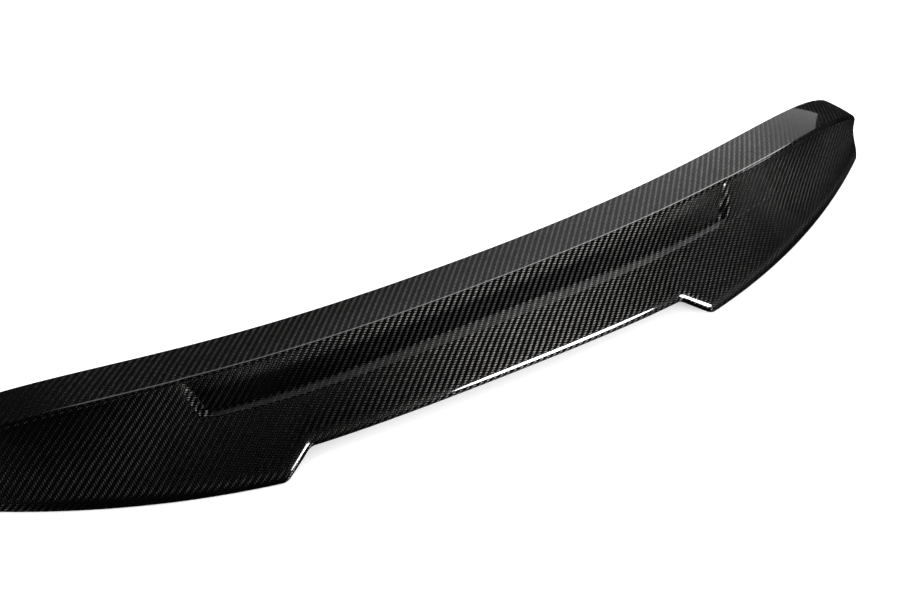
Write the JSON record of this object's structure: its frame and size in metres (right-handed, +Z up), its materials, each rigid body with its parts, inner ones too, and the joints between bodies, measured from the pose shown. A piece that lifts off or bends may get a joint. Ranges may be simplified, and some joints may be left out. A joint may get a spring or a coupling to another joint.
{
  "type": "car rear spoiler",
  "caption": "Carbon fibre boot spoiler: a bowed one-piece shell with a crease, a long recess and a notched lower flange with rolled edges.",
  "frame": {"origin": "on the floor under the middle of the length and of the whole depth", "axes": "+X to the right seen from behind the car, along the length; +Y to the front of the car; +Z up as it stands on its rolled lower edge"},
  "size_m": [1.15, 0.2144, 0.0991],
  "materials": {
    "carbon_laminate": "2x2 twill carbon fibre laminate under a glossy clear coat"
  },
  "bodies": {
    "root": {"spoiler_shell": "carbon_laminate"}
  },
  "joints": []
}
